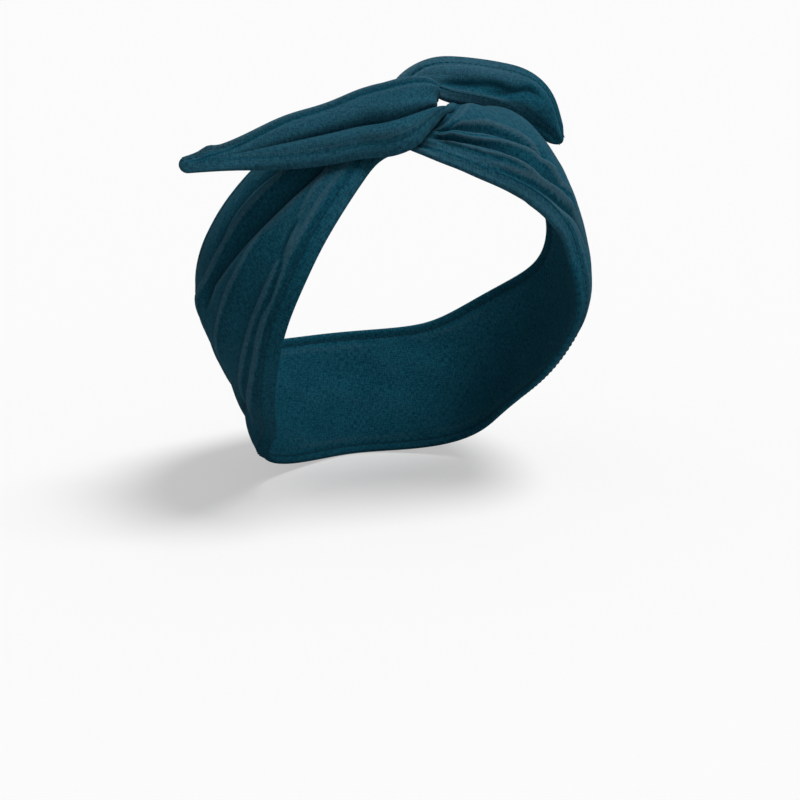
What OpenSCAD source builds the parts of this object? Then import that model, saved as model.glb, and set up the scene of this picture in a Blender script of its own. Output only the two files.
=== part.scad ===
// Knotted headband: one long wired strip of doubled cloth, laid round the head from the nape
// and hooked once through itself above the brow, with the two ends left as bendable tails.
// Millimetres. The origin is the middle of the head, +Z is up, and -Y is where the wearer looks.

/* [Fit on the head] */
// Width across the band's middle line at the temples
head_w = 150; // [140:1:162]
// Height of the knot above the middle of the head
knot_rise = 98; // [92:1:106]
// How far the knot lies in front of the middle of the head
knot_forward = 34; // [28:1:40]
// How far the band's middle line lies behind the middle of the head, at the nape
nape_back = 70; // [64:1:78]
// How far the band's middle line lies below the middle of the head, at the nape
nape_drop = 52; // [44:1:60]

/* [Strip] */
// Width of the band at the temples
band_w = 72; // [64:1:78]
// Width of the band at the nape
nape_w = 60; // [54:1:64]
// Width of the band where it leaves the knot on the left
left_root_w = 39; // [36:1:44]
// Width of the band where it fans out of the knot on the right
right_root_w = 53; // [48:1:56]
// Width of the bunched strip inside the knot
knot_w = 23; // [20:0.5:25]
// Thickness of one layer of cloth
cloth_t = 0.7; // [0.5:0.1:0.9]
// Crown of the band between its edges, over the curve of the head
crown = 8; // [5:0.5:10]
// Fold ridges that run along the band
fold_n = 4; // [3:1:4]
// Height of a fold ridge over the lining
fold_h = 4; // [2:0.5:5]

/* [Tails] */
// Length of the left tail from its bend to its tip
left_tail_l = 78; // [66:1:90]
// Length of the right tail from its bend to its tip, as a straight line
right_tail_l = 67; // [60:1:76]
// Widest part of the left tail
left_tail_w = 35; // [30:1:38]
// Widest part of the right tail
right_tail_w = 25; // [21:1:28]
// Width of each tail at its tip
tip_w = 6; // [5.5:0.5:8]
// Depth of the crease along the middle of each tail
crease = 5; // [3:0.5:7]
// Gap in the cloth at each bend
bend_gap = 0.8; // [0.6:0.1:1.2]

/* [Wire and sewing] */
// Diameter of the bendable wire in each edge
wire_d = 1.2; // [0.8:0.1:1.4]
// Room round the wire inside its channel
wire_room = 0.45; // [0.35:0.05:0.6]
// Distance of the topstitching from the edge, which makes the wire's channel
hem_w = 4; // [3.6:0.1:5]
// Diameter of the sewing thread
thread_d = 0.5; // [0.3:0.05:0.6]
// Gap between the two layers of cloth under the topstitching
layer_gap = 0.15; // [0.1:0.05:0.3]
// Number of hand stitches that close the left tip
closing_n = 6; // [4:1:9]

/* [Hidden] */

channel_r = wire_d / 2 + wire_room;
edge_r = channel_r + cloth_t;
side = head_w / 2;
brow = [0, -knot_forward, knot_rise];
nape = [0, nape_back, -nape_drop];

// Middle line of half the band from the temple to just short of the nape: the share of the half
// width, of the way back from the knot to the nape, and of the climb from the nape to the knot
half_line = [[0.82, 0.10, 0.74], [1.00, 0.16, 0.55], [0.99, 0.36, 0.33], [0.83, 0.65, 0.16],
    [0.57, 0.86, 0.03]];
// Direction from the band's front edge to its back edge at those places
half_across = [[0.07, 0.93, 0.36], [0.14, 0.91, 0.38], [0.25, 0.81, 0.53], [0.12, 0.79, 0.60],
    [-0.09, 0.68, 0.73]];
nape_across = [0, 0.50, 0.87];
half_w = [band_w, band_w, band_w * 0.92, band_w * 0.92, (band_w * 0.9 + nape_w) / 2];
half_crown = [1, 1, 1, 0.8, 0.6] * crown;
half_fold = [1, 1, 1, 0.9, 0.8] * fold_h;

function flip(p) = [-p[0], p[1], p[2]];
function backwards(list) = [for (i = [len(list) - 1:-1:0]) list[i]];
function on_band(p) =
    [p[0] * side, brow[1] + p[1] * (nape[1] - brow[1]), nape[2] + p[2] * (brow[2] - nape[2])];

// The knot and the tails, as steps from the brow point
left_bend = brow + [-30, -8, 4];
left_way = [-0.956, 0.22, -0.20] * left_tail_l;
left_tail_line = [for (share = [1, 0.68, 0.33, 0]) left_bend + share * left_way];
left_tail_across = [[0, 0.60, 0.80], [0, 0.68, 0.73], [0, 0.69, 0.72], [0, 0.70, 0.71]];
left_hook_steps = [[-14, -13, 8], [4, -8, 12], [7.5, -2.5, 9], [3, 5.5, 0.5], [-8, 4, -1.5]];
left_hook_across = [[0, 0.72, 0.69], [-0.05, 0.66, 0.74], [-0.85, 0.35, 0.3], [-0.9, 0.35, 0.25],
    [-0.5, 0.75, 0.43]];
left_root_steps = [[-24, 5, -4], [-41, 6.5, -14]];
left_root_across = [[0.05, 0.93, 0.36], [0.03, 0.89, 0.45]];
right_root_steps = [[42.5, 1.5, -16.5], [28, -6, -10]];
right_root_across = [[0, 0.84, 0.54], [0, 0.82, 0.57]];
right_hook_steps = [[14, -14.5, -8], [0, -14, -4.5], [-11, -7, 1.5], [-7, 6, 9], [4, 17.5, 15.5]];
right_hook_across = [[0, 0.73, 0.68], [0, 0.75, 0.66], [0.5, 0.76, 0.41], [1, 0, 0], [0.6, -0.6, -0.5]];
right_bend = brow + [20, 21, 17.5];
right_way = [[0, 0, 0], [0.41, 0.08, -0.045], [0.71, 0.16, -0.18], [0.89, 0.16, -0.43]] * right_tail_l;
right_tail_line = [for (p = right_way) right_bend + p];
right_tail_across = [[0, -0.50, -0.87], [-0.05, -0.30, -0.95], [-0.35, -0.20, -0.90], [-0.86, 0, -0.50]];

// The whole strip from the left tip to the right tip, one entry for each place above
function from_brow(list) = [for (p = list) brow + p];
line = concat(left_tail_line, from_brow(left_hook_steps), from_brow(left_root_steps),
    [for (p = half_line) flip(on_band(p))], [nape], backwards([for (p = half_line) on_band(p)]),
    from_brow(right_root_steps), from_brow(right_hook_steps), right_tail_line);
across = concat(left_tail_across, left_hook_across, left_root_across,
    [for (a = half_across) flip(a)], [nape_across], backwards(half_across),
    right_root_across, right_hook_across, right_tail_across);
width = concat([tip_w, left_tail_w * 0.37, left_tail_w * 0.78, left_tail_w],
    [left_tail_w - 1, knot_w + 2, knot_w * 0.6, knot_w * 0.6, knot_w],
    [left_root_w, (left_root_w + band_w) / 2], half_w, [nape_w], backwards(half_w),
    [right_root_w * 0.35 + band_w * 0.65, right_root_w],
    [(right_root_w + knot_w) * 0.4, knot_w, knot_w * 0.87, knot_w * 0.64, knot_w * 0.66],
    [right_tail_w * 0.72, right_tail_w * 0.82, right_tail_w * 0.92, tip_w + 3]);
crowns = concat([0, 0, 0, 0], [0, 0, 0, 0, 0.1] * crown, [0.5, 0.8] * crown,
    half_crown, [crown * 0.5], backwards(half_crown),
    [0.9, 0.6] * crown, [0.1, 0, 0, 0, 0] * crown, [0, 0, 0, 0]);
folds = concat([0, 0, 0, 0], [0, 0, 0, 0, 0], [0.5, 0.8] * fold_h,
    half_fold, [fold_h * 0.7], backwards(half_fold),
    [0.8, 0.6] * fold_h, [0.4, 0, 0, 0, 0] * fold_h, [0, 0, 0, 0]);
creases = concat([0, -0.6, -1, -1] * crease, [-1, -0.6, 0, 0, 0] * crease, [0, 0],
    [for (p = half_line) 0], [0], [for (p = half_line) 0],
    [0, 0], [0, 0, 0, 0, 0.2] * crease, [0.7, 1, 0.8, 0] * crease);

// Places along the strip, counted in the entries above
at_left_tip = 0;
at_left_bend = 3;
at_left_root = 9;
at_right_root = 23;
at_right_bend = 29;
at_right_tip = 32;
closing_reach = 0.55;
tail_steps = 13;
tail_ridges = 3;
hook_steps = 14;
knot_ridges = 2;
band_steps = 28;

// A smooth curve through a list, where s counts the list's entries
function smooth(p, q, r, t, u) =
    0.5 * (2 * q + (r - p) * u + (2 * p - 5 * q + 4 * r - t) * u * u + (3 * q - p - 3 * r + t) * u * u * u);
function along(list, s) = let (last = len(list) - 1, i = min(max(floor(s), 0), last - 1))
    smooth(list[max(i - 1, 0)], list[i], list[i + 1], list[min(i + 2, last)], s - i);
function unit(v) = v / norm(v);
function steps(from, to, n) = [for (i = [0:n]) from + (to - from) * i / n];
function heading(s) = unit(along(line, min(s + 0.05, at_right_tip)) - along(line, max(s - 0.05, 0)));
function level(s) = let (h = heading(s), a = along(across, s)) unit(a - (a * h) * h);
function outward(s) = cross(level(s), heading(s));

// A point of the strip: o is the distance from the middle towards the back edge, h is out of the layer
function place(s, o, h) = let (w = along(width, s), q = o / w, inner = min(abs(o) / face_half(w), 1))
    along(line, s) + level(s) * o
    + outward(s) * (h + along(crowns, s) * (1 - 4 * q * q) + along(creases, s) * sin(180 * inner));

// Cross-section of the layer that turns round both wires, as pairs of offset and height: r is the
// radius of its turned edges, lift raises its face, and ridges counts the points over the folds
function turned_edge(w, r) = [for (a = [270:-45:90]) [r * cos(a) - w / 2 + edge_r, r * sin(a)]];
function face_half(w) = max(w / 2 - hem_w, (w / 2 - edge_r) * 0.5);
function face(w, s, lift, ridges) = [for (j = [0:2 * ridges])
    [face_half(w) * (j / ridges - 1), lift + (j % 2) * along(folds, s)]];
function turned_layer(w, s, r, lift, ridges) = let (edge = turned_edge(w, r))
    concat(edge, face(w, s, lift + tip_lift(w), ridges), [for (p = backwards(edge)) [-p[0], p[1]]]);
function plain_layer(w, height, ridges) = let (half = w / 2 - edge_r - layer_gap * 2, inner = face_half(w))
    [for (o = concat([-half], [for (j = [0:2 * ridges]) inner * (j / ridges - 1)], [half])) [o, height]];
under_stitch = -channel_r + layer_gap;
// Where a tip is too narrow for two rows of topstitching, the whole width is left open for the wire
two_rows_w = 2 * (hem_w + edge_r);
function tip_lift(w) = (channel_r - under_stitch) * min(max((two_rows_w - w) / edge_r, 0), 1);

// Rows of points at each place along the strip
function turned_rows(places, r, lift, ridges, facing) = [for (s = places)
    [for (p = turned_layer(along(width, s), s, r, lift, ridges)) place(s, p[0], facing * p[1])]];
function plain_rows(places, height, ridges, facing) = [for (s = places)
    [for (p = plain_layer(along(width, s), height, ridges)) place(s, p[0], facing * p[1])]];

// A closed sheet between two sets of rows, wound so that its faces point outwards
module sheet(top, bottom, facing) {
    rows = len(top);
    cols = len(top[0]);
    flat = rows * cols;
    points = concat([for (row = top) for (p = row) p], [for (row = bottom) for (p = row) p]);
    function quad(a, b, c, d) = facing > 0 ? [[a, c, b], [a, d, c]] : [[a, b, c], [a, c, d]];
    faces = [
        for (i = [0:rows - 2]) for (j = [0:cols - 2])
            let (a = i * cols + j)
            for (f = concat(quad(a, a + 1, a + cols + 1, a + cols),
                quad(flat + a, flat + a + cols, flat + a + cols + 1, flat + a + 1))) f,
        for (i = [0:rows - 2]) let (a = i * cols, b = a + cols - 1)
            for (f = concat(quad(a, a + cols, flat + a + cols, flat + a),
                quad(b, flat + b, flat + b + cols, b + cols))) f,
        for (j = [0:cols - 2]) let (a = j, b = (rows - 1) * cols + j)
            for (f = concat(quad(a, flat + a, flat + a + 1, a + 1),
                quad(b, b + 1, flat + b + 1, flat + b))) f];
    polyhedron(points, faces, convexity = 10);
}

// A hollow sleeve of cloth between an outer and an inner set of closed loops, open at both ends
module hollow(outer, inner) {
    rows = len(outer);
    cols = len(outer[0]);
    flat = rows * cols;
    points = concat([for (row = outer) for (p = row) p], [for (row = inner) for (p = row) p]);
    function quad(a, b, c, d) = [[a, c, b], [a, d, c]];
    faces = [
        for (i = [0:rows - 2]) for (j = [0:cols - 1])
            let (a = i * cols + j, b = i * cols + (j + 1) % cols)
            for (f = concat(quad(a, b, b + cols, a + cols),
                quad(flat + a, flat + a + cols, flat + b + cols, flat + b))) f,
        for (j = [0:cols - 1]) let (a = j, b = (j + 1) % cols, c = (rows - 1) * cols)
            for (f = concat(quad(a, flat + a, flat + b, b),
                quad(c + a, c + b, flat + c + b, flat + c + a))) f];
    polyhedron(points, faces, convexity = 10);
}

// A round tube through a list of points, each with a direction square to the tube
module tube(path, squares, d, sides) {
    last = len(path) - 1;
    function ring(i) = let (t = unit(path[min(i + 1, last)] - path[max(i - 1, 0)]),
        a = unit(squares[i] - (squares[i] * t) * t), b = cross(t, a))
        [for (k = [0:sides - 1]) path[i] + d / 2 * (cos(360 * k / sides) * a + sin(360 * k / sides) * b)];
    points = [for (i = [0:last]) for (p = ring(i)) p];
    faces = concat([[for (k = [0:sides - 1]) k]], [[for (k = [sides - 1:-1:0]) last * sides + k]],
        [for (i = [0:last - 1]) for (k = [0:sides - 1])
            let (a = i * sides + k, b = i * sides + (k + 1) % sides)
            for (f = [[a, a + sides, b + sides], [a, b + sides, b]]) f]);
    polyhedron(points, faces, convexity = 10);
}

// Places along each piece: cloth stops half the gap short of a bend, and a tail's wire just inside its tip
function moved(at, step, distance) = at + step * distance / norm(along(line, at) - along(line, at + step));
left_tail_places = steps(at_left_tip, moved(at_left_bend, -1, bend_gap / 2), tail_steps);
left_wire_places = concat([moved(at_left_tip, 1, edge_r)], [for (i = [1:tail_steps]) left_tail_places[i]]);
left_hook_places = steps(moved(at_left_bend, 1, bend_gap / 2), at_left_root, hook_steps);
band_places = steps(at_left_root, at_right_root, band_steps);
right_hook_places = steps(at_right_root, moved(at_right_bend, -1, bend_gap / 2), hook_steps);
right_tail_places = steps(moved(at_right_bend, 1, bend_gap / 2), at_right_tip, tail_steps);
right_wire_places = concat([moved(at_right_tip, -1, edge_r)],
    [for (i = [tail_steps - 1:-1:0]) right_tail_places[i]]);
function edge_place(s, end) = place(s, end * (along(width, s) / 2 - edge_r), 0);

module turned_panel(places, ridges, facing) {
    sheet(turned_rows(places, edge_r, under_stitch + cloth_t, ridges, facing),
        turned_rows(places, channel_r, under_stitch, ridges, facing), facing);
}

module plain_panel(places, ridges, facing) {
    sheet(plain_rows(places, -channel_r, ridges, facing),
        plain_rows(places, -edge_r, ridges, facing), facing);
}

module strand(places, ridges) {
    function loop(s, r, lift, height) = let (w = along(width, s))
        [for (p = concat(turned_layer(w, s, r, lift, ridges), backwards(plain_layer(w, height, ridges))))
            place(s, p[0], p[1])];
    hollow([for (s = places) loop(s, edge_r, under_stitch + cloth_t, -edge_r)],
        [for (s = places) loop(s, channel_r, under_stitch, -channel_r)]);
}

module edge_wire(end) {
    places = concat(left_hook_places, [for (i = [1:band_steps]) band_places[i]],
        [for (i = [1:hook_steps]) right_hook_places[i]]);
    tube([for (s = places) edge_place(s, end)], [for (s = places) outward(s)], wire_d, 6);
}

// The wire of a tail runs out along one edge, turns round inside the tip and comes back along the other
module tail_wire(places) {
    ends = concat([for (s = backwards(places)) [s, -1]], [for (s = places) [s, 1]]);
    tube([for (e = ends) edge_place(e[0], e[1])], [for (e = ends) outward(e[0])], wire_d, 6);
}

// Sewing thread, drawn half its thickness into the cloth
module topstitch(places, end, facing) {
    tube([for (s = places) place(s, end * (along(width, s) / 2 - hem_w), facing * (under_stitch + cloth_t))],
        [for (s = places) outward(s)], thread_d, 4);
}

module tail_topstitch(places, facing) {
    for (end = [-1, 1]) topstitch([for (s = places) if (along(width, s) > two_rows_w) s], end, facing);
}

module band_outer_panel() { color("midnightblue") turned_panel(band_places, fold_n, 1); }
module band_lining() { color("darkslateblue") plain_panel(band_places, fold_n, 1); }
module front_edge_wire() { color("silver") edge_wire(-1); }
module back_edge_wire() { color("silver") edge_wire(1); }
module band_front_topstitch() { color("navy") topstitch(band_places, -1, 1); }
module band_back_topstitch() { color("navy") topstitch(band_places, 1, 1); }
module knot_left_strand() { color("midnightblue") strand(left_hook_places, knot_ridges); }
module knot_right_strand() { color("midnightblue") strand(right_hook_places, knot_ridges); }
module left_tail_front_panel() { color("midnightblue") turned_panel(left_tail_places, tail_ridges, -1); }
module left_tail_back_panel() { color("darkslateblue") plain_panel(left_tail_places, tail_ridges, -1); }
module left_tail_wire() { color("silver") tail_wire(left_wire_places); }
module left_tail_topstitch() { color("navy") tail_topstitch(left_tail_places, -1); }
module right_tail_front_panel() { color("midnightblue") turned_panel(right_tail_places, tail_ridges, 1); }
module right_tail_back_panel() { color("darkslateblue") plain_panel(right_tail_places, tail_ridges, 1); }
module right_tail_wire() { color("silver") tail_wire(right_wire_places); }
module right_tail_topstitch() { color("navy") tail_topstitch(right_tail_places, 1); }

module left_tip_closing_stitches() {
    color("navy") for (k = [1:closing_n])
        let (s = closing_reach * k / closing_n, o = along(width, s) / 2 - edge_r)
        translate(place(s, o, -edge_r - thread_d / 2)) sphere(d = thread_d * 2, $fn = 8);
}

band_outer_panel();
band_lining();
front_edge_wire();
back_edge_wire();
band_front_topstitch();
band_back_topstitch();
knot_left_strand();
knot_right_strand();
left_tail_front_panel();
left_tail_back_panel();
left_tail_wire();
left_tail_topstitch();
left_tip_closing_stitches();
right_tail_front_panel();
right_tail_back_panel();
right_tail_wire();
right_tail_topstitch();
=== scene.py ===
"""Knotted headband: cloth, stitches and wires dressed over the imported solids.

One long strip of doubled cloth runs from tip to tip. Its route is the one the solids follow, in
millimetres, and every piece here is laid out along it by two numbers: s, the place along the strip,
and o, the distance from its middle line towards the back edge.
"""

from __future__ import annotations

import logging
import math
from dataclasses import dataclass
from enum import Enum
from typing import Any, Callable, Sequence

import bpy
import numpy as np
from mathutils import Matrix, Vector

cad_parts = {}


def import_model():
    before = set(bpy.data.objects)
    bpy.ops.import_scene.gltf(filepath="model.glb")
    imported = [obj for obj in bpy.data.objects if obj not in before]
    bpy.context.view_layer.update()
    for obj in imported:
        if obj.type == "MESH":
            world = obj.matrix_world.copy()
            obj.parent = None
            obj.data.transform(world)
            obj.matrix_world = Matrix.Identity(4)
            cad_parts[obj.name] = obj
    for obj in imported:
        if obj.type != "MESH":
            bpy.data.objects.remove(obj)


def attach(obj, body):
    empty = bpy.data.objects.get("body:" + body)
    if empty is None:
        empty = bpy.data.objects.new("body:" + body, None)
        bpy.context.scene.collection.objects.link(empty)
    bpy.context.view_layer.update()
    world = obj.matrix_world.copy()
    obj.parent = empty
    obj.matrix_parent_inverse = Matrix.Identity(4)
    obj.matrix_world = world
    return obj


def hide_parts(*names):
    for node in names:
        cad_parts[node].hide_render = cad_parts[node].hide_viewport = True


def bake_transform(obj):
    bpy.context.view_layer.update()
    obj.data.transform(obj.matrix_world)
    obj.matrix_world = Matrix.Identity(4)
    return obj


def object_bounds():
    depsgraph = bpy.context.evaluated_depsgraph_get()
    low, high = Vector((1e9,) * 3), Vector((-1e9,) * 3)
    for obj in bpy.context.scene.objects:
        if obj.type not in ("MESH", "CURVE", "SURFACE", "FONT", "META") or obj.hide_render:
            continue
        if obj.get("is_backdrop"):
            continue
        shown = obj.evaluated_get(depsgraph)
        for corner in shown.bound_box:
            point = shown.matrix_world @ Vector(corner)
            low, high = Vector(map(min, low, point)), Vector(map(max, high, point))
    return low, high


LOG = logging.getLogger("headband")
MM = 0.001
WEAVE_MAP = "Weave"
# Name of the cloth's colour marks: above nought rubbing with painted highlight and light, below nought
# painted shade.
WEAR_AND_PAINTED_LIGHT = "Wear"

# Places along the strip: its right tip, the cuts between band and tails, and the band's topstitching.
LAST = 32
LEFT_CUT = 6.6
RIGHT_CUT = 26.1
BAND_SEWN = (8.6, 24.6)

# The wire's radius in millimetres.
WIRE_R = 0.3

Array = np.ndarray
Piece = bpy.types.Object
Finish = bpy.types.Material
Colour = tuple[float, float, float, float]
Place = tuple[float, float, float]
Pairs = tuple[tuple[float, float], ...]
WHITE: Colour = (1.0, 1.0, 1.0, 1.0)


class Side(Enum):
    """The two faces of the strip."""

    OUTER = 1
    INNER = -1


class Edge(Enum):
    """The two wired edges of the strip."""

    FRONT = -1
    BACK = 1


def smooth_step(x: Array | float) -> Array:
    """Eases x from 0 to 1."""
    x = np.clip(x, 0.0, 1.0)
    return x * x * (3.0 - 2.0 * x)


def between(s: Array, ends: tuple[float, float], rise: float, fall: float) -> Array:
    """Eases from 0 up to 1 past the first end, and down to 0 before the second."""
    return smooth_step((s - ends[0]) / rise) * smooth_step((ends[1] - s) / fall)


def listed(pairs: Pairs, s: Array) -> Array:
    """Reads a list of (s, value) pairs at the rows s, as one column."""
    return np.interp(s, *np.array(pairs).T)[:, None]


def blurred(table: Array, reach: float) -> Array:
    """Softens a table along its first axis and keeps both its ends.

    Args:
        table: rows of numbers.
        reach: the blur's standard deviation, in rows.

    Returns:
        The softened table.
    """
    n = int(math.ceil(3 * reach))
    kernel = np.exp(-0.5 * (np.arange(-n, n + 1) / reach) ** 2)
    kernel /= kernel.sum()
    flat = table.reshape(len(table), -1)
    head = 2 * flat[:1] - flat[n:0:-1]
    tail = 2 * flat[-1:] - flat[-2 : -n - 2 : -1]
    padded = np.concatenate([head, flat, tail])
    soft = np.stack([np.convolve(c, kernel, mode="valid") for c in padded.T], axis=1)
    return soft.reshape(table.shape)


def unit(v: Array) -> Array:
    """Scales the last axis of v to length one."""
    return v / np.maximum(np.linalg.norm(v, axis=-1, keepdims=True), 1e-12)


@dataclass(frozen=True)
class Tug:
    """A local pull on the strip, as thumb and finger would give it.

    Attributes:
        s: place along the strip.
        q: place across it, from -0.5 at the front edge to 0.5 at the back edge.
        s_reach: how far along the pull is felt.
        q_reach: how far across it is felt, as a share of the width.
        pull: the move, in millimetres.
    """

    s: float
    q: float
    s_reach: float
    q_reach: float
    pull: Place

    def move(self, s: Array, q: Array) -> Array:
        """Gives the move at each place (s, q), in millimetres."""
        felt = np.exp(-(((s - self.s) / self.s_reach) ** 2) - ((q - self.q) / self.q_reach) ** 2)
        return felt[..., None] * np.array(self.pull)


@dataclass
class StripRoute:
    """The strip's middle line from the left tip to the right tip, and its width direction.

    Sizes are in millimetres.

    Attributes:
        head_w: the loop's width over the temples.
        brow: the place of the knot.
        nape: the middle line's place at the nape.
        band_w: the band's width.
        nape_w: the band's width at the nape.
        left_root_w: the band's width beside the knot, on the left.
        right_root_w: the same on the right.
        knot_w: the gathered strip's width in the knot.
        crown: how far the band bulges between its edges.
        left_tail_l: the left tail's length from its bend.
        right_tail_l: the right tail's length from its bend.
        left_tail_w: the left tail's width.
        right_tail_w: the right tail's width.
        tip_w: the left tip's width.
        crease: the depth of a tail's lengthwise crease.
        hem_w: the distance from an edge to its stitches.
        edge_r: the radius of a rolled edge.
        samples: entries of the fine grid.
        softness: the blur in the knot and tails, in entries of the fine grid.
        band_softness: the blur round the band.
        loose_run: first and last place of the band's own blur.
        loose_ease: the length in s over which that blur comes in.
        crease_line: (s, share across) pairs, where the left tail's crease runs.
        tugs: the local pulls.
    """

    head_w: float = 150.0
    brow: Place = (0.0, -34.0, 98.0)
    nape: Place = (0.0, 70.0, -52.0)
    band_w: float = 72.0
    nape_w: float = 60.0
    left_root_w: float = 39.0
    right_root_w: float = 53.0
    knot_w: float = 23.0
    crown: float = 8.0
    left_tail_l: float = 78.0
    right_tail_l: float = 67.0
    left_tail_w: float = 35.0
    right_tail_w: float = 29.0
    tip_w: float = 6.5
    crease: float = 5.0
    hem_w: float = 4.0
    edge_r: float = 1.5
    samples: int = 1601
    softness: float = 6.0
    band_softness: float = 16.0
    loose_run: tuple[float, float] = (9.0, 24.0)
    loose_ease: float = 1.5
    crease_line: Pairs = ((0, 0.0), (1, -0.05), (3, -0.06), (4, -0.09), (5, -0.12), (6, 0.0))
    tugs: tuple[Tug, ...] = ()

    def __post_init__(self) -> None:
        """Works the control lists out and samples them finely along the strip."""
        self.grid = np.linspace(0.0, LAST, self.samples)
        self.line = self.eased(self.line_points())
        self.width = self.eased(self.widths())
        self.crowns = self.eased(self.crown_heights())
        self.creases = self.eased(self.crease_heights())
        heading = unit(np.gradient(self.line, axis=0))
        across = self.eased(self.across_points())
        self.heading = heading
        self.level = unit(across - (across * heading).sum(1, keepdims=True) * heading)
        self.outward = np.cross(self.level, self.heading)
        steps = np.linalg.norm(np.diff(self.line, axis=0), axis=1)
        self.arc = np.concatenate([[0.0], np.cumsum(steps)])

    def eased(self, rows: Array) -> Array:
        """Samples a control list, softly round the band and closer in the knot and tails.

        Args:
            rows: one row for each whole number along the strip.

        Returns:
            The samples, one for each entry of the fine grid.
        """
        fine = self.curve(rows)
        close, loose = blurred(fine, self.softness), blurred(fine, self.band_softness)
        loose = loose + blurred(fine - loose, self.band_softness)
        share = between(self.grid, self.loose_run, self.loose_ease, self.loose_ease)
        share = share.reshape((-1,) + (1,) * (rows.ndim - 1))
        return close + share * (loose - close)

    def on_band(self, share: Sequence[float]) -> Array:
        """Turns shares of the loop's size into a place.

        Args:
            share: of half the width, of the depth from brow to nape, and of the rise from nape to brow.

        Returns:
            The place in millimetres.
        """
        low, high = np.array(self.nape), np.array(self.brow)
        return np.array(
            [
                share[0] * self.head_w / 2,
                high[1] + share[1] * (low[1] - high[1]),
                low[2] + share[2] * (high[2] - low[2]),
            ]
        )

    @property
    def right_tip_w(self) -> float:
        """The right tip's width, a little more than the left one's."""
        return self.tip_w + 3

    def line_points(self) -> Array:
        """Lists the middle line's control places, tip to tip.

        Returns:
            One place in millimetres for each whole number along the strip.
        """
        brow = np.array(self.brow)
        half = [(0.82, 0.10, 0.74), (1.00, 0.16, 0.55), (0.99, 0.36, 0.33)]
        half = half + [(0.83, 0.65, 0.16), (0.57, 0.86, 0.03)]
        right_half = [self.on_band(p) for p in half]
        left_half = [p * np.array([-1, 1, 1]) for p in right_half]
        left_bend = brow + np.array([-30, -8, 4])
        left_way = np.array([-0.956, 0.22, -0.20]) * self.left_tail_l
        left_tail = [left_bend + k * left_way for k in (1.0, 0.68, 0.33, 0.0)]
        left_hook = [(-14, -13, 8), (4, -8, 12), (7.5, -2.5, 9), (3, 5.5, 0.5), (-8, 4, -1.5)]
        left_root = [(-24, 5, -4), (-41, 6.5, -14)]
        right_root = [(42.5, 1.5, -16.5), (28, -6, -10)]
        right_hook = [(14, -14.5, -8), (0, -14, -4.5), (-11, -7, 1.5), (-7, 6, 9), (4, 17.5, 15.5)]
        right_bend = brow + np.array([20, 21, 16.0])
        right_way = np.array([(0, 0, 0), (0.41, 0.08, -0.10), (0.71, 0.16, -0.25), (0.89, 0.16, -0.50)])
        right_tail = [right_bend + p for p in right_way * self.right_tail_l]
        from_brow = [brow + np.array(p) for p in left_hook + left_root]
        to_brow = [brow + np.array(p) for p in right_root + right_hook]
        rows = left_tail + from_brow + left_half + [np.array(self.nape)] + right_half[::-1] + to_brow
        return np.array(rows + right_tail, float)

    def across_points(self) -> Array:
        """Lists the width directions at the control places.

        Returns:
            One direction for each whole number along the strip.
        """
        half = [(0.07, 0.93, 0.36), (0.14, 0.91, 0.38), (0.25, 0.81, 0.53)]
        half = half + [(0.12, 0.79, 0.60), (-0.09, 0.68, 0.73)]
        left_half = [(-x, y, z) for x, y, z in half]
        left_tail = [(0, 0.60, 0.80), (0, 0.68, 0.73), (0, 0.69, 0.72), (0, 0.70, 0.71)]
        left_hook = [(0, 0.72, 0.69), (-0.05, 0.66, 0.74), (-0.85, 0.35, 0.3)]
        left_hook = left_hook + [(-0.9, 0.35, 0.25), (-0.5, 0.75, 0.43)]
        left_root = [(0.05, 0.93, 0.36), (0.03, 0.89, 0.45)]
        right_root = [(0, 0.84, 0.54), (0, 0.82, 0.57)]
        right_hook = [(0, 0.73, 0.68), (0, 0.75, 0.66), (0.5, 0.76, 0.41), (1, 0, 0), (0.6, -0.6, -0.5)]
        right_tail = [(0, -0.50, -0.87), (-0.05, -0.30, -0.95), (-0.35, -0.20, -0.90), (-0.86, 0, -0.50)]
        rows = left_tail + left_hook + left_root + left_half + [(0, 0.50, 0.87)] + half[::-1]
        return np.array(rows + right_root + right_hook + right_tail, float)

    def widths(self) -> Array:
        """Lists the strip's widths at the control places.

        Returns:
            One width in millimetres for each whole number along the strip.
        """
        w, root = self.band_w, self.right_root_w
        half = [w, w, 0.92 * w, 0.92 * w, (0.9 * w + self.nape_w) / 2]
        left_tail = [self.tip_w] + [k * self.left_tail_w for k in (0.37, 0.78, 1.0)]
        left_hook = [self.left_tail_w - 1, self.knot_w + 2] + [k * self.knot_w for k in (0.6, 0.6, 1.0)]
        left_root = [self.left_root_w, (self.left_root_w + w) / 2]
        right_hook = [0.4 * (root + self.knot_w)] + [k * self.knot_w for k in (1.0, 0.87, 0.64, 0.66)]
        right_tail = [k * self.right_tail_w for k in (0.72, 0.82, 0.92)] + [self.right_tip_w]
        rows = left_tail + left_hook + left_root + half + [self.nape_w] + half[::-1]
        return np.array(rows + [0.35 * root + 0.65 * w, root] + right_hook + right_tail, float)

    def crown_heights(self) -> Array:
        """Lists how far the strip bulges along its middle line.

        Returns:
            One height in millimetres for each whole number along the strip.
        """
        half = [1, 1, 1, 0.8, 0.6]
        rows = [0] * 8 + [0.1, 0.5, 0.8] + half + [0.5] + half[::-1] + [0.9, 0.6, 0.1]
        rows = rows + [0, 0, 0, 0, 0.2, 0.4, 0.4, 0]
        return self.crown * np.array(rows, float)

    def crease_heights(self) -> Array:
        """Lists how far the two lobes beside a lengthwise crease stand out."""
        rows = [0, -0.1, -0.8, -1.1, -1.2, -1.1] + [0] * 21 + [0.2, 0.2, 0.1, 0.0, 0.0, 0]
        return self.crease * np.array(rows, float)

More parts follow.
